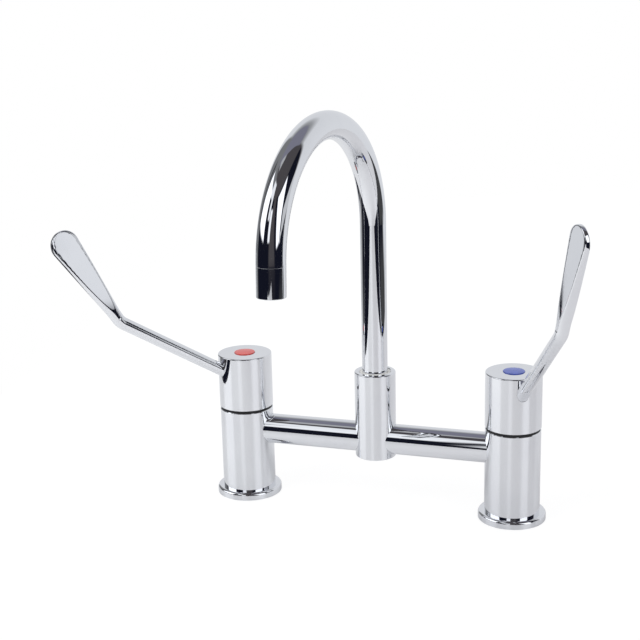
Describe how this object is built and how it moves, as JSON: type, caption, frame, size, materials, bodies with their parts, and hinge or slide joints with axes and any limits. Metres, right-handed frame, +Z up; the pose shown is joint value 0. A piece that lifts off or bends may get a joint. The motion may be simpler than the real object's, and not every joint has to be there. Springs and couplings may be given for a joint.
{
  "type": "bridge kitchen faucet",
  "caption": "Deck-mounted bridge kitchen faucet with a swivelling swan-neck spout and long lever handles on its hot and cold pillars.",
  "frame": {"origin": "on the deck plane, midway between the centres of the two pillar inlets", "axes": "+Z up, +X along the bridge from the hot pillar to the cold one, -Y towards the user and the spout's outlet"},
  "size_m": [0.356, 0.185, 0.2942],
  "materials": {
    "chrome": "polished chrome plate on brass",
    "brass": "machined",
    "steel": "plain stainless",
    "ceramic": "lapped alumina ceramic",
    "rubber": "moulded",
    "black_nylon": "satin",
    "white_nylon": "satin",
    "index_red": "glossy, slightly domed",
    "index_blue": "glossy, slightly domed"
  },
  "bodies": {
    "pillars_and_bridge": {"hot_flange": "chrome", "hot_deck_seal": "rubber", "hot_pillar_body": "chrome", "hot_glide_ring": "black_nylon", "hot_bridge_tube": "chrome", "hot_base_seal": "rubber", "hot_fixed_disc": "ceramic", "hot_cartridge_bonnet": "brass", "hot_bonnet_gasket": "rubber", "cold_flange": "chrome", "cold_deck_seal": "rubber", "cold_pillar_body": "chrome", "cold_glide_ring": "black_nylon", "cold_bridge_tube": "chrome", "cold_base_seal": "rubber", "cold_fixed_disc": "ceramic", "cold_cartridge_bonnet": "brass", "cold_bonnet_gasket": "rubber", "tee_body": "chrome", "spout_grub_screw": "steel", "spout_bearing_ring": "white_nylon"},
    "spout": {"spout_bush": "brass", "spout_o_rings": "rubber", "spout_tube": "chrome", "aerator_housing": "chrome", "aerator_washer": "rubber", "aerator_core": "white_nylon", "aerator_screens": "steel"},
    "hot_handle": {"hot_moving_disc": "ceramic", "hot_spindle": "brass", "hot_spindle_o_rings": "rubber", "hot_spindle_clip": "steel", "hot_cap": "chrome", "hot_handle_screw": "steel", "hot_index_button": "index_red", "hot_lever": "chrome"},
    "cold_handle": {"cold_moving_disc": "ceramic", "cold_spindle": "brass", "cold_spindle_o_rings": "rubber", "cold_spindle_clip": "steel", "cold_cap": "chrome", "cold_handle_screw": "steel", "cold_index_button": "index_blue", "cold_lever": "chrome"}
  },
  "joints": [
    {"name": "spout_swivel", "type": "hinge", "parent": "pillars_and_bridge", "child": "spout", "pos_m": [0, 0, 0.0865], "axis": [0, 0, 1], "range_deg": [-47.4, 62.6]},
    {"name": "hot_lever_turn", "type": "hinge", "parent": "pillars_and_bridge", "child": "hot_handle", "pos_m": [-0.1, 0, 0.08], "axis": [0, 0, 1], "range_deg": [-47.3, 42.7]},
    {"name": "cold_lever_turn", "type": "hinge", "parent": "pillars_and_bridge", "child": "cold_handle", "pos_m": [0.1, 0, 0.08], "axis": [0, 0, 1], "range_deg": [-28.7, 61.3]}
  ]
}
